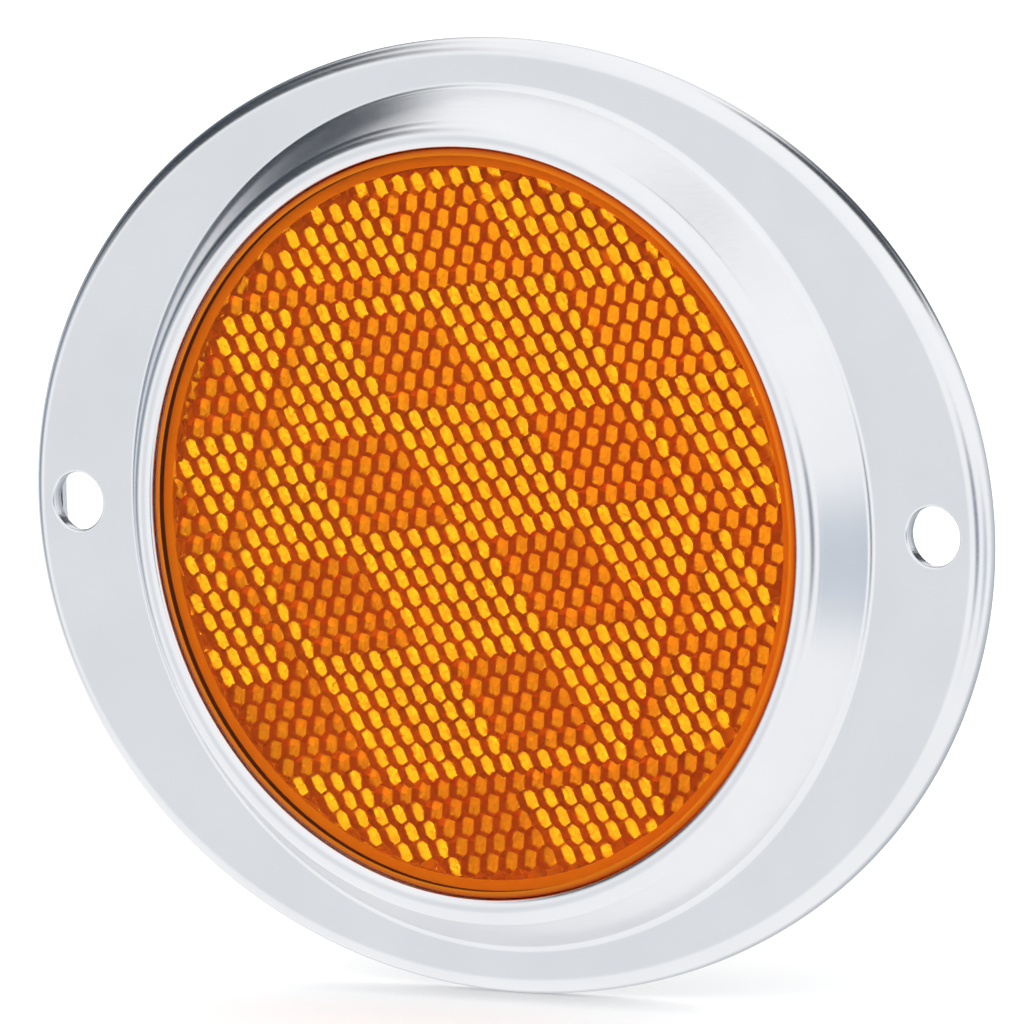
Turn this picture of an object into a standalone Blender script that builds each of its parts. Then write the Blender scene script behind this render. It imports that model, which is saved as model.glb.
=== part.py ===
"""Round amber reflex reflector in a drawn aluminium housing with two screw ears.

Upright frame, in metres: X runs along the line of the two screw holes, Z is up
and the lens faces -Y.  The origin is the centre of the mounting plane, Y = 0,
which the hemmed edge of the housing rests on.

A section is a list of (radius, height) pairs in millimetres, where the height is
the distance in front of the mounting plane.  On the oval flange the radius is
replaced by the distance in from the oval outline.
"""

import math

import bmesh
import bpy
from mathutils import Matrix

MM = 0.001
GAP = 0.3                   # clearance kept between neighbouring pieces

# Housing: one piece of drawn sheet
SHEET = 0.8
FLANGE_HALF_WIDTH = 56.6
FLANGE_HALF_HEIGHT = 48.6
FLANGE_HEIGHT = 3.0         # front face of the flange above the mounting plane
EDGE_RADIUS = 1.8           # rounding between the flange and its turned-back edge
HEM_RADIUS = 1.0
HEM_REACH = 2.4             # how far the hem runs in from the outline
CUP_BASE_RADIUS = 43.3      # outer side of the cup where it meets the flange
CUP_TOP_RADIUS = 41.1
CUP_FILLET = 1.0
SHOULDER_RADIUS = 2.0
HOUSING_DEPTH = 8.6         # crest of the rolled lip
LIP_OPENING_RADIUS = 38.1
LIP_DROP = 0.2              # fall of the lip from its crest to its inner edge
SCREW_SPACING = 101.6
SCREW_HOLE_RADIUS = 3.0

# Lens: acrylic moulding with a stepped rim under the lip
LENS_FACE_HEIGHT = 8.2
LENS_FACE_RADIUS = 37.8
LENS_FACE_ROUNDING = 0.4
LENS_RIM_RADIUS = 40.3
LENS_STEP_HEIGHT = 6.3
LENS_SKIRT_HEIGHT = 4.3     # rear end of the rim
LENS_SKIRT_INNER_RADIUS = 37.3
OPTIC_RADIUS = 36.2
OPTIC_BACK_HEIGHT = 4.8
GROOVE_HEIGHT = 6.7

# Gasket between the lip and the lens step
GASKET_INNER_RADIUS = 38.3
GASKET_OUTER_RADIUS = 39.7
GASKET_THICKNESS = 0.7

# Moulded cover welded to the back of the lens
BACKING_THICKNESS = 0.8
TONGUE_HALF_WIDTH = 0.25
TONGUE_HEIGHT = 5.8
BACKING_RIB_RADII = (12.0, 22.0)
BACKING_RIB_HALF_WIDTH = 0.6
BACKING_RIB_RISE = 0.4

# Foam ring that presses the lens forward
CUSHION_INNER_RADIUS = 27.0
CUSHION_OUTER_RADIUS = 39.6
CUSHION_FRONT_HEIGHT = 2.9
CUSHION_BACK_HEIGHT = 2.2
CUSHION_ROUNDING = 0.2

# Base plate held by the hem
PLATE_THICKNESS = 0.7
PLATE_FRONT_HEIGHT = 1.9
PLATE_INSET = 1.5           # from the oval outline
PLATE_HOLE_RADIUS = 3.3
BEAD_RADIUS = 18.0
BEAD_HALF_WIDTH = 3.0
BEAD_RISE = 0.5

OVAL_STEPS = 64
ROUND_STEPS = 64
HOLE_STEPS = 36


def clear_scene():
    for obj in list(bpy.data.objects):
        bpy.data.objects.remove(obj)


def make_material(name, color, roughness, metallic=0.0, transmission=0.0):
    material = bpy.data.materials.new(name)
    material.use_nodes = True
    shader = material.node_tree.nodes["Principled BSDF"]
    shader.inputs["Base Color"].default_value = (*color, 1.0)
    shader.inputs["Roughness"].default_value = roughness
    shader.inputs["Metallic"].default_value = metallic
    shader.inputs["Transmission Weight"].default_value = transmission
    material.diffuse_color = (*color, 1.0)
    return material


def arc(center, radius, start, end, steps):
    """Points of a circular arc, from start to end in degrees."""
    points = []
    for step in range(steps + 1):
        angle = math.radians(start + (end - start) * step / steps)
        points.append((center[0] + radius * math.cos(angle), center[1] + radius * math.sin(angle)))
    return points


def offset_path(path, distance):
    """The path moved sideways by the distance, to the right of its direction."""
    moved = []
    last = len(path) - 1
    for index, point in enumerate(path):
        before = path[max(index - 1, 0)]
        after = path[min(index + 1, last)]
        first = unit(before, point) if index > 0 else unit(point, after)
        second = unit(point, after) if index < last else first
        mitre = (first[0] + second[0], first[1] + second[1])
        length = math.hypot(*mitre)
        normal = (mitre[1] / length, -mitre[0] / length)
        stretch = distance / (normal[0] * first[1] - normal[1] * first[0])
        moved.append((point[0] + normal[0] * stretch, point[1] + normal[1] * stretch))
    return moved


def unit(start, end):
    length = math.hypot(end[0] - start[0], end[1] - start[1])
    return ((end[0] - start[0]) / length, (end[1] - start[1]) / length)


def round_ring(radius, height, steps=OVAL_STEPS):
    """Points of a circle about the Y axis, height in front of the mounting plane."""
    points = []
    for step in range(steps):
        angle = 2.0 * math.pi * step / steps
        points.append((radius * math.cos(angle) * MM, -height * MM, radius * math.sin(angle) * MM))
    return points


def oval_ring(inset, height, steps=OVAL_STEPS):
    """Points of the flange's oval outline, moved in by the inset along its normals."""
    points = []
    for step in range(steps):
        angle = 2.0 * math.pi * step / steps
        x = FLANGE_HALF_WIDTH * math.cos(angle)
        z = FLANGE_HALF_HEIGHT * math.sin(angle)
        normal = unit((0.0, 0.0), (x / FLANGE_HALF_WIDTH ** 2, z / FLANGE_HALF_HEIGHT ** 2))
        points.append(((x - inset * normal[0]) * MM, -height * MM, (z - inset * normal[1]) * MM))
    return points


def finish_object(name, bm, material, smooth_angle=30.0):
    bmesh.ops.recalc_face_normals(bm, faces=bm.faces[:])
    mesh = bpy.data.meshes.new(name)
    bm.to_mesh(mesh)
    bm.free()
    mesh.materials.append(material)
    mesh.shade_smooth()
    mesh.set_sharp_from_angle(angle=math.radians(smooth_angle))
    obj = bpy.data.objects.new(name, mesh)
    bpy.context.scene.collection.objects.link(obj)
    return obj


def loft(bm, rings):
    """Quads from each ring to the next.  Returns the first and last loops of vertices."""
    loops = [[bm.verts.new(point) for point in ring] for ring in rings]
    for loop, following in zip(loops, loops[1:]):
        bridge(bm, loop, following)
    return loops[0], loops[-1]


def bridge(bm, loop, following):
    count = len(loop)
    for step in range(count):
        other = (step + 1) % count
        bm.faces.new((loop[step], loop[other], following[other], following[step]))


def turned(name, section, material):
    """A solid of revolution about the Y axis from an open or closed section."""
    bm = bmesh.new()
    verts = [bm.verts.new((radius * MM, -height * MM, 0.0)) for radius, height in section]
    edges = [bm.edges.new(pair) for pair in zip(verts, verts[1:])]
    if section[0][0] > 0.0:
        edges.append(bm.edges.new((verts[-1], verts[0])))
    bmesh.ops.spin(bm, geom=verts + edges, cent=(0.0, 0.0, 0.0), axis=(0.0, 1.0, 0.0),
                   angle=2.0 * math.pi, steps=ROUND_STEPS, use_merge=True)
    bmesh.ops.remove_doubles(bm, verts=bm.verts[:], dist=0.00001)
    return finish_object(name, bm, material)


def drill_screw_holes(obj, radius):
    """Both screw holes, cut by hidden cylinders along Y."""
    for side, label in ((-1.0, "left"), (1.0, "right")):
        bm = bmesh.new()
        bmesh.ops.create_cone(bm, cap_ends=True, segments=HOLE_STEPS, radius1=radius * MM,
                              radius2=radius * MM, depth=2.0 * FLANGE_HEIGHT * MM)
        half_step = Matrix.Rotation(math.pi / HOLE_STEPS, 3, 'Z')
        bmesh.ops.rotate(bm, verts=bm.verts[:], matrix=half_step)
        mesh = bpy.data.meshes.new(f"{obj.name}_{label}_drill")
        bm.to_mesh(mesh)
        bm.free()
        drill = bpy.data.objects.new(mesh.name, mesh)
        drill.location = (side * SCREW_SPACING / 2.0 * MM, -FLANGE_HEIGHT / 2.0 * MM, 0.0)
        drill.rotation_euler = (math.pi / 2.0, 0.0, 0.0)
        drill.hide_render = True
        drill.display_type = 'WIRE'
        bpy.context.scene.collection.objects.link(drill)
        cut = obj.modifiers.new(f"{label}_screw_hole", 'BOOLEAN')
        cut.operation = 'DIFFERENCE'
        cut.solver = 'EXACT'
        cut.object = drill


def flange_edge_path():
    """Front skin of the flange's edge, from the hem's end to the flat face."""
    hem = [(HEM_REACH, 0.0)]
    hem += arc((HEM_RADIUS, HEM_RADIUS), HEM_RADIUS, 270.0, 180.0, 3)
    edge_center = (EDGE_RADIUS, FLANGE_HEIGHT - EDGE_RADIUS)
    return hem + arc(edge_center, EDGE_RADIUS, 180.0, 90.0, 4)


def cup_path():
    """Front skin of the cup, from the flange face over the shoulder to the lip's edge."""
    fillet = arc((CUP_BASE_RADIUS + CUP_FILLET, FLANGE_HEIGHT + CUP_FILLET), CUP_FILLET, 270.0, 205.0, 3)
    shoulder_center = (CUP_TOP_RADIUS - SHOULDER_RADIUS, HOUSING_DEPTH - SHOULDER_RADIUS)
    shoulder = arc(shoulder_center, SHOULDER_RADIUS, 25.0, 105.0, 4)
    return fillet + shoulder + [(LIP_OPENING_RADIUS, HOUSING_DEPTH - LIP_DROP)]


def make_housing(material):
    edge = flange_edge_path()
    cup = cup_path()
    rings = [oval_ring(*point) for point in edge]
    rings += [round_ring(*point) for point in cup]
    rings += [round_ring(*point) for point in reversed(offset_path(cup, -SHEET))]
    rings += [oval_ring(*point) for point in reversed(offset_path(edge, SHEET))]
    bm = bmesh.new()
    first, last = loft(bm, rings)
    bridge(bm, last, first)
    housing = finish_object("bezel_housing", bm, material)
    drill_screw_holes(housing, SCREW_HOLE_RADIUS)
    return housing


def make_lens(material):
    rounding_center = (LENS_FACE_RADIUS - LENS_FACE_ROUNDING, LENS_FACE_HEIGHT - LENS_FACE_ROUNDING)
    section = [(0.0, LENS_FACE_HEIGHT)]
    section += arc(rounding_center, LENS_FACE_ROUNDING, 90.0, 0.0, 4)
    section += [
        (LENS_FACE_RADIUS, LENS_STEP_HEIGHT),
        (LENS_RIM_RADIUS, LENS_STEP_HEIGHT),
        (LENS_RIM_RADIUS, LENS_SKIRT_HEIGHT),
        (LENS_SKIRT_INNER_RADIUS, LENS_SKIRT_HEIGHT),
        (LENS_SKIRT_INNER_RADIUS, GROOVE_HEIGHT),
        (OPTIC_RADIUS, GROOVE_HEIGHT),
        (OPTIC_RADIUS, OPTIC_BACK_HEIGHT),
        (0.0, OPTIC_BACK_HEIGHT),
    ]
    return turned("reflex_lens", section, material)


def make_gasket(material):
    back = LENS_STEP_HEIGHT + GAP
    section = [
        (GASKET_INNER_RADIUS, back),
        (GASKET_OUTER_RADIUS, back),
        (GASKET_OUTER_RADIUS, back + GASKET_THICKNESS),
        (GASKET_INNER_RADIUS, back + GASKET_THICKNESS),
    ]
    return turned("lens_gasket", section, material)


def make_backing(material):
    front = LENS_SKIRT_HEIGHT - GAP
    back = front - BACKING_THICKNESS
    tongue = (LENS_SKIRT_INNER_RADIUS + OPTIC_RADIUS) / 2.0
    section = [(0.0, front)]
    for rib in BACKING_RIB_RADII:
        section += [
            (rib - BACKING_RIB_HALF_WIDTH, front),
            (rib - BACKING_RIB_HALF_WIDTH, front + BACKING_RIB_RISE),
            (rib + BACKING_RIB_HALF_WIDTH, front + BACKING_RIB_RISE),
            (rib + BACKING_RIB_HALF_WIDTH, front),
        ]
    section += [
        (tongue - TONGUE_HALF_WIDTH, front),
        (tongue - TONGUE_HALF_WIDTH, TONGUE_HEIGHT),
        (tongue + TONGUE_HALF_WIDTH, TONGUE_HEIGHT),
        (tongue + TONGUE_HALF_WIDTH, front),
        (LENS_RIM_RADIUS, front),
        (LENS_RIM_RADIUS, back),
        (0.0, back),
    ]
    return turned("lens_backing", section, material)


def make_cushion(material):
    middle = (CUSHION_FRONT_HEIGHT + CUSHION_BACK_HEIGHT) / 2.0
    inner = CUSHION_INNER_RADIUS + CUSHION_ROUNDING
    outer = CUSHION_OUTER_RADIUS - CUSHION_ROUNDING
    section = [
        (inner, CUSHION_BACK_HEIGHT),
        (outer, CUSHION_BACK_HEIGHT),
        (CUSHION_OUTER_RADIUS, middle),
        (outer, CUSHION_FRONT_HEIGHT),
        (inner, CUSHION_FRONT_HEIGHT),
        (CUSHION_INNER_RADIUS, middle),
    ]
    return turned("cushion_ring", section, material)


def bead_height(radius):
    """Backward swell of the plate's stiffening bead."""
    reach = abs(radius - BEAD_RADIUS) / BEAD_HALF_WIDTH
    if reach >= 1.0:
        return 0.0
    return BEAD_RISE * (0.5 + 0.5 * math.cos(math.pi * reach))


def make_base_plate(material):
    radii = [BEAD_RADIUS + BEAD_HALF_WIDTH * step / 3.0 for step in range(-3, 4)]
    back = PLATE_FRONT_HEIGHT - PLATE_THICKNESS
    rings = [round_ring(radius, PLATE_FRONT_HEIGHT - bead_height(radius)) for radius in radii]
    rings.append(oval_ring(PLATE_INSET, PLATE_FRONT_HEIGHT))
    rings.append(oval_ring(PLATE_INSET, back))
    rings += [round_ring(radius, back - bead_height(radius)) for radius in reversed(radii)]
    bm = bmesh.new()
    for loop in loft(bm, rings):
        bm.faces.new(loop)
    plate = finish_object("base_plate", bm, material)
    drill_screw_holes(plate, PLATE_HOLE_RADIUS)
    return plate


def main():
    clear_scene()
    polished = make_material("polished_aluminium", (0.86, 0.87, 0.88), 0.16, metallic=1.0)
    amber = make_material("amber_acrylic", (0.92, 0.36, 0.03), 0.05, transmission=0.9)
    rubber = make_material("white_silicone", (0.80, 0.79, 0.76), 0.6)
    plastic = make_material("white_abs", (0.78, 0.78, 0.75), 0.5)
    foam = make_material("grey_foam", (0.12, 0.12, 0.13), 0.95)
    steel = make_material("zinc_steel", (0.62, 0.64, 0.66), 0.35, metallic=1.0)
    make_housing(polished)
    make_gasket(rubber)
    make_lens(amber)
    make_backing(plastic)
    make_cushion(foam)
    make_base_plate(steel)


main()
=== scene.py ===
"""Looks of a round amber reflex reflector in a drawn aluminium housing with two screw ears.

The frame is upright: X runs along the line of the two screw holes, Z is up and the lens
faces -Y.  Sections are lists of (radius, height) pairs in millimetres, where the height
is the distance in front of the mounting plane Y = 0.  On the oval flange the radius is
replaced by the distance in from the oval outline.
"""

import math

import bmesh
import bpy
from mathutils import Matrix, Vector


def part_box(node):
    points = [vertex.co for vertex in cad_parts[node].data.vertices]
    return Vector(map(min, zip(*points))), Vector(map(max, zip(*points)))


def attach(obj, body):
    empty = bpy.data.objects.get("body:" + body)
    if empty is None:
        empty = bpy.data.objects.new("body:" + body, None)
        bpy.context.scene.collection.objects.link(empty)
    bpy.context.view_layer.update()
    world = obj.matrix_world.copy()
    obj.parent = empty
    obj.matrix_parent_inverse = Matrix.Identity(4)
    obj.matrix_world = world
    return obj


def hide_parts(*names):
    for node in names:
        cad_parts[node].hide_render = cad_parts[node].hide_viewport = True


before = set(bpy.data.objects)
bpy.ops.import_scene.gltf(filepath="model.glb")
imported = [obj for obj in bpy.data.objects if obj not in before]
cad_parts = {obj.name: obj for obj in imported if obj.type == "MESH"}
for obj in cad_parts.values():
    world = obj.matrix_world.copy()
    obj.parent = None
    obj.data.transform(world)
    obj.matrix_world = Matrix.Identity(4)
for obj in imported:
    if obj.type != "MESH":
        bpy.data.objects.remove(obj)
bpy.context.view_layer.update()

MM = 0.001

# Housing: one piece of drawn sheet, as the frame's bezel_housing but finer
HOUSING_LOW, HOUSING_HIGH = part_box("bezel_housing")
SHEET = 0.8
FLANGE_HALF_WIDTH = HOUSING_HIGH.x / MM
FLANGE_HALF_HEIGHT = HOUSING_HIGH.z / MM
HOUSING_DEPTH = -HOUSING_LOW.y / MM
FLANGE_HEIGHT = 3.0
EDGE_RADIUS = 1.8
HEM_RADIUS = 1.0
HEM_REACH = 2.4
CUP_BASE_RADIUS = 43.3
CUP_TOP_RADIUS = 41.1
CUP_FILLET = 1.0
SHOULDER_RADIUS = 2.0
LIP_OPENING_RADIUS = 38.1
LIP_SLOPE = 15.0            # fall of the lip towards the lens, in degrees
SCREW_SPACING = 101.6
SCREW_HOLE_RADIUS = 3.0
HOLE_EDGE_ROUNDING = 0.25

# Lens: acrylic moulding, smooth in front, with cube-corner pins on its back
LENS_LOW, LENS_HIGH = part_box("reflex_lens")
LENS_FACE_HEIGHT = -LENS_LOW.y / MM
LENS_SKIRT_HEIGHT = -LENS_HIGH.y / MM
LENS_RIM_RADIUS = LENS_HIGH.x / MM
LENS_FACE_RADIUS = 38.0     # 0.2 mm more than the frame's, to narrow the gap to the lip
LENS_FACE_ROUNDING = 0.4
LENS_STEP_HEIGHT = 6.3
LENS_SKIRT_INNER_RADIUS = 37.3
PIN_PITCH = 2.28
PIN_TURN = 8.0              # rows of pins, in degrees from X
PIN_APEX_HEIGHT = 4.8
PIN_STEP = PIN_PITCH / math.sqrt(6.0)   # height between the three levels of a cube corner
GROOVE_HEIGHT = PIN_APEX_HEIGHT + 2.1 * PIN_STEP
PIN_FIELD_RADIUS = 36.2
PIN_FIELD_SHIFT = (-1.0, -0.9)
TILE = 6                    # pins along one side of a tile
HEXAGON_ROWS = 12           # rows of pins from the centre to a side of the inner hexagon

# The lens's plastic refracts a little more than acrylic does, so that the two kinds of
# pins differ when they are seen at an angle
LENS_INDEX = 1.6
LENS_SPECULAR_TINT = (0.4, 0.25, 0.08, 1.0)

# Studio: brightness of the room for diffuse and direct rays, for rays that have passed
# through the lens, and for rays mirrored by shiny surfaces outside the zones
ROOM_LIGHT = 1.4
LENS_LIGHT = 3.05
MIRRORED_LIGHT = 1.10
FLOOR_HALF_WIDTH = 8.0      # in metres

ROUND_STEPS = 256
HOLE_STEPS = 64
TRIM_STEPS = 96


def arc(center, radius, start, end, steps):
    """Points of a circular arc, from start to end in degrees."""
    points = []
    for step in range(steps + 1):
        angle = math.radians(start + (end - start) * step / steps)
        points.append((center[0] + radius * math.cos(angle), center[1] + radius * math.sin(angle)))
    return points


def unit(start, end):
    length = math.hypot(end[0] - start[0], end[1] - start[1])
    return ((end[0] - start[0]) / length, (end[1] - start[1]) / length)


def offset_path(path, distance):
    """The path moved sideways by the distance, to the right of its direction."""
    moved = []
    last = len(path) - 1
    for index, point in enumerate(path):
        before = path[max(index - 1, 0)]
        after = path[min(index + 1, last)]
        first = unit(before, point) if index > 0 else unit(point, after)
        second = unit(point, after) if index < last else first
        mitre = (first[0] + second[0], first[1] + second[1])
        length = math.hypot(*mitre)
        normal = (mitre[1] / length, -mitre[0] / length)
        stretch = distance / (normal[0] * first[1] - normal[1] * first[0])
        moved.append((point[0] + normal[0] * stretch, point[1] + normal[1] * stretch))
    return moved


def place(x, height, z):
    """A point given in millimetres, its height in front of the mounting plane."""
    return Vector((x, -height, z)) * MM


def round_ring(radius, height):
    """Points of a circle about the Y axis."""
    points = []
    for step in range(ROUND_STEPS):
        angle = 2.0 * math.pi * step / ROUND_STEPS
        points.append(place(radius * math.cos(angle), height, radius * math.sin(angle)))
    return points


def oval_ring(inset, height):
    """Points of the flange's oval outline, moved in by the inset along its normals."""
    points = []
    for step in range(ROUND_STEPS):
        angle = 2.0 * math.pi * step / ROUND_STEPS
        x = FLANGE_HALF_WIDTH * math.cos(angle)
        z = FLANGE_HALF_HEIGHT * math.sin(angle)
        normal = unit((0.0, 0.0), (x / FLANGE_HALF_WIDTH ** 2, z / FLANGE_HALF_HEIGHT ** 2))
        points.append(place(x - inset * normal[0], height, z - inset * normal[1]))
    return points


def bridge(bm, first, second):
    """Quads between two rings of the same number of vertices."""
    count = len(first)
    for step in range(count):
        other = (step + 1) % count
        bm.faces.new((first[step], first[other], second[other], second[step]))


def finish_mesh(name, bm, material, smooth_angle):
    """A new object in the scene, with faces smooth up to the angle in degrees."""
    bmesh.ops.recalc_face_normals(bm, faces=bm.faces[:])
    mesh = bpy.data.meshes.new(name)
    bm.to_mesh(mesh)
    bm.free()
    mesh.materials.append(material)
    mesh.shade_smooth()
    mesh.set_sharp_from_angle(angle=math.radians(smooth_angle))
    obj = bpy.data.objects.new(name, mesh)
    bpy.context.scene.collection.objects.link(obj)
    return obj


# ---------------------------------------------------------------- materials


def new_material(name):
    material = bpy.data.materials.new(name)
    material.use_nodes = True
    return material, material.node_tree, material.node_tree.nodes["Principled BSDF"]


def set_inputs(shader, **values):
    for name, value in values.items():
        shader.inputs[name.replace("_", " ")].default_value = value


def object_coordinates(tree, scale=(1.0, 1.0, 1.0)):
    """Object coordinates in millimetres, stretched by the scale."""
    coordinates = tree.nodes.new("ShaderNodeTexCoord")
    mapping = tree.nodes.new("ShaderNodeMapping")
    mapping.inputs["Scale"].default_value = [factor / MM for factor in scale]
    tree.links.new(coordinates.outputs["Object"], mapping.inputs["Vector"])
    return mapping.outputs["Vector"]


def noise(tree, vector, scale, detail=4.0):
    node = tree.nodes.new("ShaderNodeTexNoise")
    set_inputs(node, Scale=scale, Detail=detail, Roughness=0.55)
    tree.links.new(vector, node.inputs["Vector"])
    return node.outputs["Fac"]


def remap(tree, value, low, high, start=0.3, end=0.7):
    """The value stretched from start..end to low..high."""
    node = tree.nodes.new("ShaderNodeMapRange")
    tree.links.new(value, node.inputs["Value"])
    for name, number in (("From Min", start), ("From Max", end), ("To Min", low), ("To Max", high)):
        node.inputs[name].default_value = number
    return node.outputs["Result"]


def blend_colors(tree, factor, first, second):
    node = tree.nodes.new("ShaderNodeMix")
    node.data_type = 'RGBA'
    tree.links.new(factor, node.inputs["Factor"])
    node.inputs[6].default_value = (*first, 1.0)
    node.inputs[7].default_value = (*second, 1.0)
    return node.outputs[2]


def add_bump(tree, shader, height, distance, strength):
    """Relief from the height, with the distance in millimetres."""
    node = tree.nodes.new("ShaderNodeBump")
    set_inputs(node, Strength=strength, Distance=distance * MM)
    tree.links.new(height, node.inputs["Height"])
    tree.links.new(node.outputs["Normal"], shader.inputs["Normal"])


def polished_aluminium():
    """Drawn and buffed sheet: soft mottling, faint buffing lines and handling marks."""
    material, tree, shader = new_material("polished_aluminium_look")
    set_inputs(shader, Metallic=1.0)
    plain = object_coordinates(tree)
    lines = noise(tree, object_coordinates(tree, (0.15, 1.0, 6.0)), 1.0, detail=6.0)
    cloud = noise(tree, plain, 0.09, detail=3.0)
    grain = noise(tree, plain, 3.0, detail=5.0)
    tree.links.new(blend_colors(tree, remap(tree, cloud, 0.0, 1.0), (0.78, 0.79, 0.82), (0.81, 0.82, 0.84)),
                   shader.inputs["Base Color"])
    tree.links.new(remap(tree, lines, 0.19, 0.25), shader.inputs["Roughness"])
    add_bump(tree, shader, grain, 0.003, 0.4)
    return material


def amber_acrylic(name, clearness, left_color, right_color):
    """Amber moulding with a drift of colour across it, a flow pattern and a little haze."""
    material, tree, shader = new_material(name)
    set_inputs(shader, Transmission_Weight=clearness, IOR=LENS_INDEX, Specular_Tint=LENS_SPECULAR_TINT)
    plain = object_coordinates(tree)
    split = tree.nodes.new("ShaderNodeSeparateXYZ")
    tree.links.new(plain, split.inputs["Vector"])
    across = remap(tree, split.outputs["X"], -0.35, 0.35, -LENS_FACE_RADIUS, LENS_FACE_RADIUS)
    flow = tree.nodes.new("ShaderNodeMath")
    flow.use_clamp = True
    tree.links.new(noise(tree, plain, 0.06, detail=2.0), flow.inputs[0])
    tree.links.new(across, flow.inputs[1])
    haze = noise(tree, plain, 0.5, detail=5.0)
    tree.links.new(blend_colors(tree, flow.outputs[0], left_color, right_color),
                   shader.inputs["Base Color"])
    tree.links.new(remap(tree, haze, 0.02, 0.05), shader.inputs["Roughness"])
    return material


def amber_rim():
    """The lens's thick edge, which is cloudier, and redder towards the outside."""
    material, tree, shader = new_material("amber_rim_look")
    set_inputs(shader, Transmission_Weight=0.3, IOR=LENS_INDEX, Specular_Tint=LENS_SPECULAR_TINT)
    flat = tree.nodes.new("ShaderNodeVectorMath")
    flat.operation = 'LENGTH'
    tree.links.new(object_coordinates(tree, (1.0, 0.0, 1.0)), flat.inputs[0])
    outward = remap(tree, flat.outputs["Value"], 0.0, 1.0, LENS_SKIRT_INNER_RADIUS, LENS_FACE_RADIUS)
    tree.links.new(blend_colors(tree, outward, (0.76, 0.21, 0.006), (0.52, 0.06, 0.004)),
                   shader.inputs["Base Color"])
    haze = noise(tree, object_coordinates(tree), 0.5, detail=5.0)
    tree.links.new(remap(tree, haze, 0.04, 0.10), shader.inputs["Roughness"])
    return material


def abs_with_painted_shade():
    """Fine-textured white plastic, painted darker than its own colour as the shade behind the lens, with
    slight yellowing and a random cloudy tone.
    """
    material, tree, shader = new_material("abs_painted_shade_look")
    plain = object_coordinates(tree)
    cloud = noise(tree, plain, 0.12, detail=3.0)
    grain = noise(tree, plain, 6.0, detail=3.0)
    # Painted shade: both tones are far darker than the white plastic, standing in for the shade behind the
    # lens
    tree.links.new(blend_colors(tree, remap(tree, cloud, 0.0, 1.0), (0.46, 0.45, 0.43), (0.36, 0.35, 0.32)),
                   shader.inputs["Base Color"])
    tree.links.new(remap(tree, grain, 0.40, 0.55), shader.inputs["Roughness"])
    add_bump(tree, shader, grain, 0.02, 0.4)
    return material


def white_silicone():
    """Translucent white rubber with a faint bloom and a fine moulded texture."""
    material, tree, shader = new_material("white_silicone_look")
    set_inputs(shader, Subsurface_Weight=0.3, Subsurface_Scale=0.5 * MM)
    plain = object_coordinates(tree)
    bloom = noise(tree, plain, 0.4, detail=5.0)
    grain = noise(tree, plain, 8.0, detail=3.0)
    tree.links.new(blend_colors(tree, remap(tree, bloom, 0.0, 1.0), (0.84, 0.83, 0.80), (0.76, 0.74, 0.70)),
                   shader.inputs["Base Color"])
    tree.links.new(remap(tree, grain, 0.62, 0.82), shader.inputs["Roughness"])
    add_bump(tree, shader, grain, 0.02, 0.5)
    return material


def grey_foam():
    """Open-celled foam: rounded pits of a few tenths of a millimetre, painted darker towards their bottoms
    as shade.
    """
    material, tree, shader = new_material("grey_foam_look")
    plain = object_coordinates(tree)
    cells = tree.nodes.new("ShaderNodeTexVoronoi")
    cells.inputs["Scale"].default_value = 2.2
    tree.links.new(plain, cells.inputs["Vector"])
    depth = cells.outputs["Distance"]
    # Painted shade: the colour darkens towards the bottom of each pit
    pit_painted_shade = remap(tree, depth, 0.0, 1.0, 0.1, 0.6)
    tree.links.new(blend_colors(tree, pit_painted_shade, (0.05, 0.05, 0.055), (0.17, 0.17, 0.18)),
                   shader.inputs["Base Color"])
    tree.links.new(remap(tree, noise(tree, plain, 4.0), 0.85, 0.98), shader.inputs["Roughness"])
    add_bump(tree, shader, depth, 0.2, 0.8)
    return material


def zinc_steel():
    """Galvanised sheet: a mosaic of zinc crystals a few millimetres across, with rolling lines."""
    material, tree, shader = new_material("zinc_steel_look")
    set_inputs(shader, Metallic=1.0)
    plain = object_coordinates(tree)
    crystals = tree.nodes.new("ShaderNodeTexVoronoi")
    crystals.inputs["Scale"].default_value = 0.28
    tree.links.new(plain, crystals.inputs["Vector"])
    split = tree.nodes.new("ShaderNodeSeparateColor")
    tree.links.new(crystals.outputs["Color"], split.inputs["Color"])
    shade = split.outputs["Red"]
    lines = noise(tree, object_coordinates(tree, (0.1, 1.0, 7.0)), 1.0, detail=6.0)
    tree.links.new(blend_colors(tree, shade, (0.46, 0.48, 0.52), (0.62, 0.64, 0.66)),
                   shader.inputs["Base Color"])
    rough = tree.nodes.new("ShaderNodeMath")
    tree.links.new(remap(tree, lines, 0.16, 0.28), rough.inputs[0])
    tree.links.new(remap(tree, split.outputs["Green"], 0.0, 0.16, 0.0, 1.0), rough.inputs[1])
    tree.links.new(rough.outputs[0], shader.inputs["Roughness"])
    add_bump(tree, shader, lines, 0.012, 0.4)
    return material


# ---------------------------------------------------------------- housing


def flange_edge_path():
    """Front skin of the flange's edge, from the hem's end to the flat face."""
    hem = [(HEM_REACH, 0.0)]
    hem += arc((HEM_RADIUS, HEM_RADIUS), HEM_RADIUS, 270.0, 180.0, 8)
    edge_center = (EDGE_RADIUS, FLANGE_HEIGHT - EDGE_RADIUS)
    return hem + arc(edge_center, EDGE_RADIUS, 180.0, 90.0, 14)


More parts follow.
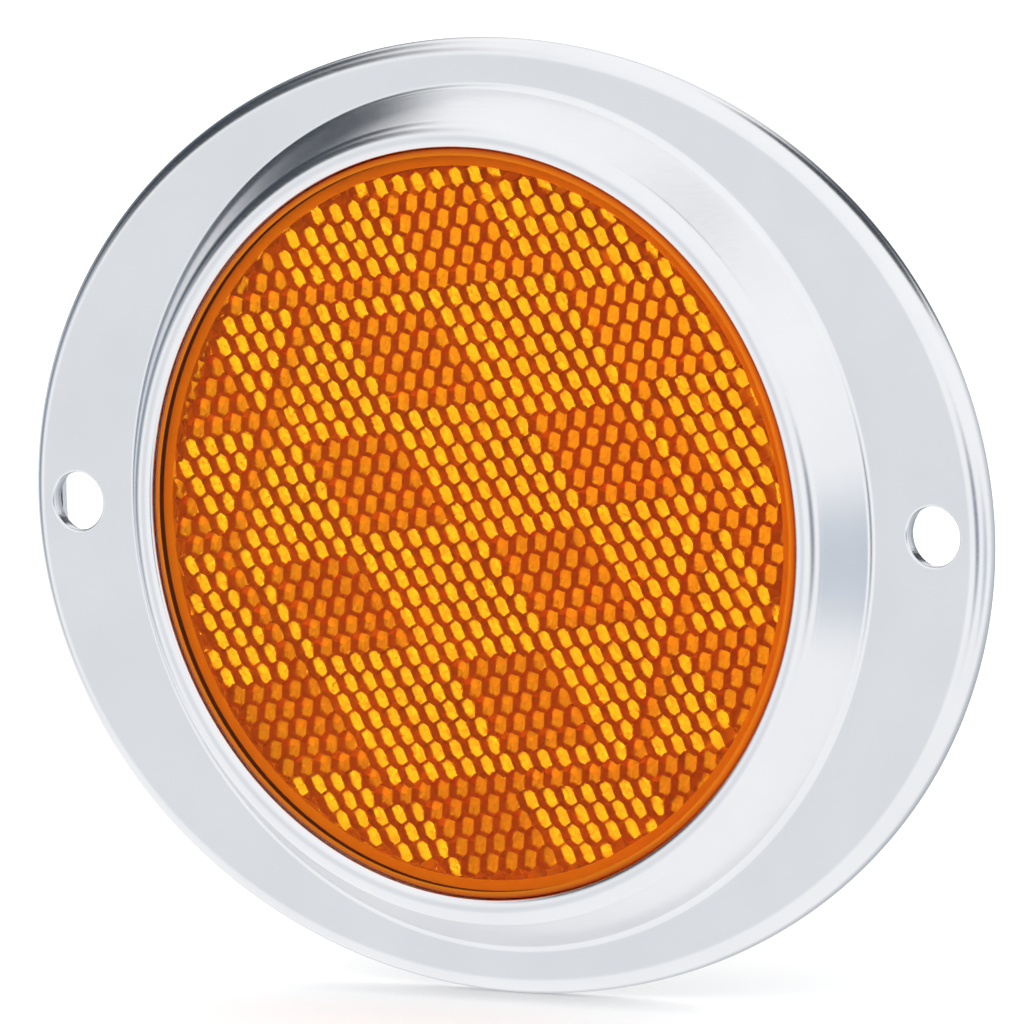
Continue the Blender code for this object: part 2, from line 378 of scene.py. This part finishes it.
def cup_path():
    """Front skin of the cup, from the flange face over the shoulder to the lip's edge."""
    fillet = arc((CUP_BASE_RADIUS + CUP_FILLET, FLANGE_HEIGHT + CUP_FILLET), CUP_FILLET, 270.0, 205.0, 8)
    shoulder_center = (CUP_TOP_RADIUS - SHOULDER_RADIUS, HOUSING_DEPTH - SHOULDER_RADIUS)
    shoulder = arc(shoulder_center, SHOULDER_RADIUS, 25.0, 90.0 + LIP_SLOPE, 16)
    slope = math.radians(LIP_SLOPE)
    edge = LIP_OPENING_RADIUS + SHEET / 2.0 * (1.0 - math.sin(slope))
    fall = (shoulder[-1][0] - edge) * math.tan(slope)
    return fillet + shoulder + [(edge, shoulder[-1][1] - fall)]


def screw_hole_drills():
    """Hidden cutter for both screw holes, flared where they meet the flange's face."""
    bm = bmesh.new()
    rounding = arc((SCREW_HOLE_RADIUS + HOLE_EDGE_ROUNDING, FLANGE_HEIGHT - HOLE_EDGE_ROUNDING),
                   HOLE_EDGE_ROUNDING, 180.0, 90.0, 4)
    section = [(SCREW_HOLE_RADIUS, 0.0)] + rounding
    section.append((SCREW_HOLE_RADIUS + HOLE_EDGE_ROUNDING, 2.0 * FLANGE_HEIGHT))
    for side in (-1.0, 1.0):
        rings = []
        for radius, height in section:
            ring = []
            for step in range(HOLE_STEPS):
                angle = 2.0 * math.pi * (step + 0.5) / HOLE_STEPS
                x = side * SCREW_SPACING / 2.0 + radius * math.cos(angle)
                ring.append(bm.verts.new(place(x, height, radius * math.sin(angle))))
            rings.append(ring)
        for first, second in zip(rings, rings[1:]):
            bridge(bm, first, second)
        bm.faces.new(rings[0])
        bm.faces.new(rings[-1])
    bmesh.ops.recalc_face_normals(bm, faces=bm.faces[:])
    mesh = bpy.data.meshes.new("screw_hole_drills")
    bm.to_mesh(mesh)
    bm.free()
    return bpy.data.objects.new("screw_hole_drills", mesh)


def apply_modifiers(obj):
    """Bakes the object's modifiers into its mesh."""
    graph = bpy.context.evaluated_depsgraph_get()
    mesh = bpy.data.meshes.new_from_object(obj.evaluated_get(graph))
    obj.modifiers.clear()
    obj.data = mesh


def make_housing(material):
    """Shell of even thickness, from the hem over the flange and the cup to the lip."""
    edge = flange_edge_path()
    cup = cup_path()
    rings = [oval_ring(*point) for point in edge]
    inside = offset_path(cup, -SHEET)
    lip_center = [(front + back) / 2.0 for front, back in zip(cup[-1], inside[-1])]
    slope = math.degrees(math.atan2(cup[-1][1] - lip_center[1], cup[-1][0] - lip_center[0]))
    lip_edge = arc(lip_center, SHEET / 2.0, slope, slope + 180.0, 10)[1:-1]
    rings += [round_ring(*point) for point in cup + lip_edge]
    rings += [round_ring(*point) for point in reversed(inside)]
    rings += [oval_ring(*point) for point in reversed(offset_path(edge, SHEET))]
    bm = bmesh.new()
    loops = [[bm.verts.new(point) for point in ring] for ring in rings]
    for index, loop in enumerate(loops):
        bridge(bm, loop, loops[(index + 1) % len(loops)])
    housing = finish_mesh("housing_shell", bm, material, 30.0)
    drills = screw_hole_drills()
    bpy.context.scene.collection.objects.link(drills)
    cut = housing.modifiers.new("screw_holes", 'BOOLEAN')
    cut.operation = 'DIFFERENCE'
    cut.solver = 'EXACT'
    cut.object = drills
    even = housing.modifiers.new("even_shading", 'WEIGHTED_NORMAL')
    even.keep_sharp = True
    apply_modifiers(housing)
    bpy.data.objects.remove(drills)
    return housing


# ---------------------------------------------------------------- lens


def pin_center(i, j):
    """Centre of a pin, counted along its row and down from row to row."""
    along = (i + j / 2.0) * PIN_PITCH
    down = j * math.sqrt(0.75) * PIN_PITCH
    turn = math.radians(PIN_TURN)
    x = along * math.cos(turn) + down * math.sin(turn)
    z = along * math.sin(turn) - down * math.cos(turn)
    return x + PIN_FIELD_SHIFT[0], z + PIN_FIELD_SHIFT[1]


def turned_over(i, j):
    """Whether the pin's cube corner is turned by 180 degrees.

    Tiles of such pins lie like the black squares of a chessboard, one row of pins apart,
    and one such row runs round the inner hexagon."""
    if max(abs(i), abs(j), abs(i + j)) == HEXAGON_ROWS + 1:
        return True
    return i % TILE != 0 and j % TILE != 0 and (i // TILE + j // TILE) % 2 == 0


def pin_sheet(bm):
    """Facets of the cube corners, over an area that reaches past the field of pins."""
    corner_reach = PIN_PITCH / math.sqrt(3.0)
    reach = int(2.0 * PIN_FIELD_RADIUS / PIN_PITCH)
    verts = {}
    sides = {}

    def vertex(x, height, z):
        key = (round(x, 3), round(height, 3), round(z, 3))
        if key not in verts:
            verts[key] = bm.verts.new(place(x, height, z))
        return verts[key]

    for i in range(-reach, reach + 1):
        for j in range(-reach, reach + 1):
            x, z = pin_center(i, j)
            if math.hypot(x, z) > PIN_FIELD_RADIUS + PIN_PITCH:
                continue
            deep = 1 if turned_over(i, j) else 0
            corners = []
            for corner in range(6):
                angle = math.radians(PIN_TURN + 30.0 + 60.0 * corner)
                height = PIN_APEX_HEIGHT + PIN_STEP * (2 if corner % 2 == deep else 1)
                across = corner_reach * math.cos(angle)
                rise = corner_reach * math.sin(angle)
                corners.append((x + across, height, z + rise))
            rim = []
            for here, after in zip(corners, corners[1:] + corners[:1]):
                rim += [vertex(*here), vertex(*((a + b) / 2.0 for a, b in zip(here, after)))]
            for side in range(1, 12, 2):
                ends = (rim[side - 1], rim[(side + 1) % 12])
                neighbour = sides.setdefault(rim[side], ends)
                if neighbour is ends or neighbour == ends[::-1]:
                    continue
                for mine, theirs in zip(ends, neighbour[::-1]):
                    bm.faces.new((mine, theirs, rim[side]))
            apex = vertex(x, PIN_APEX_HEIGHT, z)
            for middle in range(2 * deep, 12, 4):
                bm.faces.new([apex] + [rim[(middle + turn) % 12] for turn in (-2, -1, 0, 1, 2)])


def trim_to_circle(bm, radius):
    """Cuts the sheet off at the radius, with a plane for each step round the circle."""
    for step in range(TRIM_STEPS):
        angle = 2.0 * math.pi * step / TRIM_STEPS
        outward = Vector((math.cos(angle), 0.0, math.sin(angle)))
        bmesh.ops.bisect_plane(bm, geom=bm.verts[:] + bm.edges[:] + bm.faces[:], dist=0.00001 * MM,
                               plane_co=outward * radius * MM, plane_no=outward, clear_outer=True)


def make_lens(face_look, pins_look, groove_look, rim_look):
    """One closed moulding, with a look for the front, the pins, the groove and the rim."""
    bm = bmesh.new()
    pin_sheet(bm)
    trim_to_circle(bm, PIN_FIELD_RADIUS)
    boundary = [edge for edge in bm.edges if edge.is_boundary]
    wall = bmesh.ops.extrude_edge_only(bm, edges=boundary)["geom"]
    wall_foot = [item for item in wall if isinstance(item, bmesh.types.BMVert)]
    for vert in wall_foot:
        vert.co.y = -GROOVE_HEIGHT * MM
    bmesh.ops.remove_doubles(bm, verts=wall_foot, dist=0.002 * MM)
    foot = [edge for edge in bm.edges if edge.is_boundary]
    rounding_center = (LENS_FACE_RADIUS - LENS_FACE_ROUNDING, LENS_FACE_HEIGHT - LENS_FACE_ROUNDING)
    section = [(LENS_SKIRT_INNER_RADIUS, GROOVE_HEIGHT), (LENS_SKIRT_INNER_RADIUS, LENS_SKIRT_HEIGHT)]
    section += [(LENS_RIM_RADIUS, LENS_SKIRT_HEIGHT), (LENS_RIM_RADIUS, LENS_STEP_HEIGHT)]
    section += [(LENS_FACE_RADIUS, LENS_STEP_HEIGHT)]
    section += arc(rounding_center, LENS_FACE_ROUNDING, 0.0, 90.0, 10)
    section += [(LENS_SKIRT_INNER_RADIUS, LENS_FACE_HEIGHT)]
    rings = [[bm.verts.new(point) for point in round_ring(*pair)] for pair in section]
    for first, second in zip(rings, rings[1:]):
        bridge(bm, first, second)
    inner = [bm.edges.get((rings[0][step - 1], rings[0][step])) for step in range(ROUND_STEPS)]
    bmesh.ops.triangle_fill(bm, edges=foot + inner, use_beauty=True, normal=(0.0, 1.0, 0.0))
    zone_starts = (0.0, PIN_FIELD_RADIUS, LENS_SKIRT_INNER_RADIUS)
    for face in bm.faces:
        reach = face.calc_center_median().xz.length / MM
        face.material_index = sum(reach > start for start in zone_starts)
    bm.faces.new(rings[-1])
    lens = finish_mesh("lens_moulding", bm, face_look, 12.0)
    for look in (pins_look, groove_look, rim_look):
        lens.data.materials.append(look)
    return lens


# ---------------------------------------------------------------- studio


def make_floor():
    """Plain pale floor that the object stands on."""
    half = FLOOR_HALF_WIDTH
    bm = bmesh.new()
    corners = [(-half, -half), (half, -half), (half, half), (-half, half)]
    bm.faces.new([bm.verts.new((x, y, HOUSING_LOW.z)) for x, y in corners])
    material, tree, shader = new_material("studio_floor_look")
    grain = noise(tree, object_coordinates(tree, (0.001, 0.001, 0.001)), 3.0)
    tree.links.new(blend_colors(tree, grain, (0.93, 0.93, 0.93), (0.95, 0.95, 0.95)),
                   shader.inputs["Base Color"])
    set_inputs(shader, Roughness=0.9, Specular_IOR_Level=0.0)
    floor = finish_mesh("studio_floor", bm, material, 30.0)
    floor.visible_glossy = False


def direction(azimuth, elevation):
    """Unit vector towards the azimuth, 0 in front of the lens and 90 at +X, and elevation."""
    a = math.radians(azimuth)
    e = math.radians(elevation)
    return Vector((math.sin(a) * math.cos(e), -math.cos(a) * math.cos(e), math.sin(e)))


# Zones of the studio that polished surfaces mirror: azimuth, elevation, inner and outer
# half-angle in degrees, and colour.
DARK = (0.020, 0.030, 0.045)
STUDIO_ZONES = [
    (180.0, -15.0, 12.0, 60.0, (0.50, 0.53, 0.58)),
    (-32.0, -7.0, 6.0, 20.0, (0.86, 0.88, 0.90)),
    (-88.0, 2.0, 10.0, 24.0, (0.30, 0.35, 0.42)),
    (-61.0, 24.0, 12.0, 20.0, DARK),
    (-95.0, 29.0, 16.0, 26.0, DARK),
    (-128.0, 14.0, 12.0, 21.0, (0.14, 0.17, 0.22)),
    (140.0, 55.0, 18.0, 25.0, DARK),
    (172.0, 28.0, 10.0, 18.0, DARK),
    (82.0, -12.0, 4.0, 18.0, (0.62, 0.68, 0.76)),
    (30.0, -5.0, 7.0, 16.0, (0.24, 0.28, 0.34)),
]


def make_world():
    """Bright surroundings with a few darker zones that only polished surfaces show.

    Rays that have passed through the lens see the surroundings brighter than others do."""
    world = bpy.data.worlds.new("studio")
    world.use_nodes = True
    tree = world.node_tree
    coordinates = tree.nodes.new("ShaderNodeTexCoord")
    color = None
    for azimuth, elevation, inner, outer, zone_color in STUDIO_ZONES:
        dot = tree.nodes.new("ShaderNodeVectorMath")
        dot.operation = 'DOT_PRODUCT'
        dot.inputs[1].default_value = direction(azimuth, elevation)
        tree.links.new(coordinates.outputs["Generated"], dot.inputs[0])
        mask = remap(tree, dot.outputs["Value"], 0.0, 1.0,
                     math.cos(math.radians(outer)), math.cos(math.radians(inner)))
        mix = tree.nodes.new("ShaderNodeMix")
        mix.data_type = 'RGBA'
        mix.inputs[6].default_value = (*[MIRRORED_LIGHT] * 3, 1.0)
        mix.inputs[7].default_value = (*zone_color, 1.0)
        tree.links.new(mask, mix.inputs["Factor"])
        if color is not None:
            tree.links.new(color, mix.inputs[6])
        color = mix.outputs[2]
    path = tree.nodes.new("ShaderNodeLightPath")
    plain = tree.nodes.new("ShaderNodeMix")
    plain.data_type = 'RGBA'
    plain.inputs[6].default_value = (*[ROOM_LIGHT] * 3, 1.0)
    plain.inputs[7].default_value = (*[LENS_LIGHT] * 3, 1.0)
    tree.links.new(path.outputs["Is Transmission Ray"], plain.inputs["Factor"])
    mirrored = tree.nodes.new("ShaderNodeMath")
    mirrored.operation = 'SUBTRACT'
    tree.links.new(path.outputs["Is Glossy Ray"], mirrored.inputs[0])
    tree.links.new(path.outputs["Is Transmission Ray"], mirrored.inputs[1])
    mirrored.use_clamp = True
    choose = tree.nodes.new("ShaderNodeMix")
    choose.data_type = 'RGBA'
    tree.links.new(plain.outputs[2], choose.inputs[6])
    tree.links.new(mirrored.outputs[0], choose.inputs["Factor"])
    tree.links.new(color, choose.inputs[7])
    tree.links.new(choose.outputs[2], tree.nodes["Background"].inputs["Color"])
    bpy.context.scene.world = world


def make_camera():
    azimuth = 32.05
    elevation = 6.81
    roll = -1.86
    distance = 1.3
    aim_right = -0.04
    aim_up = 0.32
    focal_length = 452.1
    back = direction(azimuth, elevation)
    level_right = (-back).cross(Vector((0.0, 0.0, 1.0))).normalized()
    level_up = level_right.cross(-back)
    turn = math.radians(roll)
    right = level_right * math.cos(turn) + level_up * math.sin(turn)
    up = level_up * math.cos(turn) - level_right * math.sin(turn)
    aim = aim_right * MM * right + aim_up * MM * up
    data = bpy.data.cameras.new("camera")
    data.lens = focal_length
    camera = bpy.data.objects.new("camera", data)
    axes = Matrix((right, up, back)).transposed().to_4x4()
    camera.matrix_world = Matrix.Translation(aim + back * distance) @ axes
    bpy.context.scene.collection.objects.link(camera)
    bpy.context.scene.camera = camera


# ---------------------------------------------------------------- assembly


def dress_nodes():
    """Finishes for the frame's own pieces that stay in view."""
    looks = {
        "lens_gasket": white_silicone(),
        "lens_backing": abs_with_painted_shade(),
        "cushion_ring": grey_foam(),
        "base_plate": zinc_steel(),
    }
    for node, material in looks.items():
        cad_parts[node].material_slots[0].material = material


def stand_in(piece, node):
    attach(piece, "root")
    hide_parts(node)


make_camera()
make_world()
make_floor()
bpy.context.scene.view_settings.view_transform = 'Standard'
stand_in(make_housing(polished_aluminium()), "bezel_housing")
lens_face = amber_acrylic("amber_face_look", 1.0, (0.99, 0.50, 0.006), (0.98, 0.39, 0.005))
lens_pins = amber_acrylic("amber_pins_look", 0.79, (0.98, 0.26, 0.005), (0.97, 0.21, 0.004))
lens_groove = amber_acrylic("amber_groove_look", 0.2, (0.98, 0.45, 0.007), (0.98, 0.38, 0.006))
stand_in(make_lens(lens_face, lens_pins, lens_groove, amber_rim()), "reflex_lens")
dress_nodes()
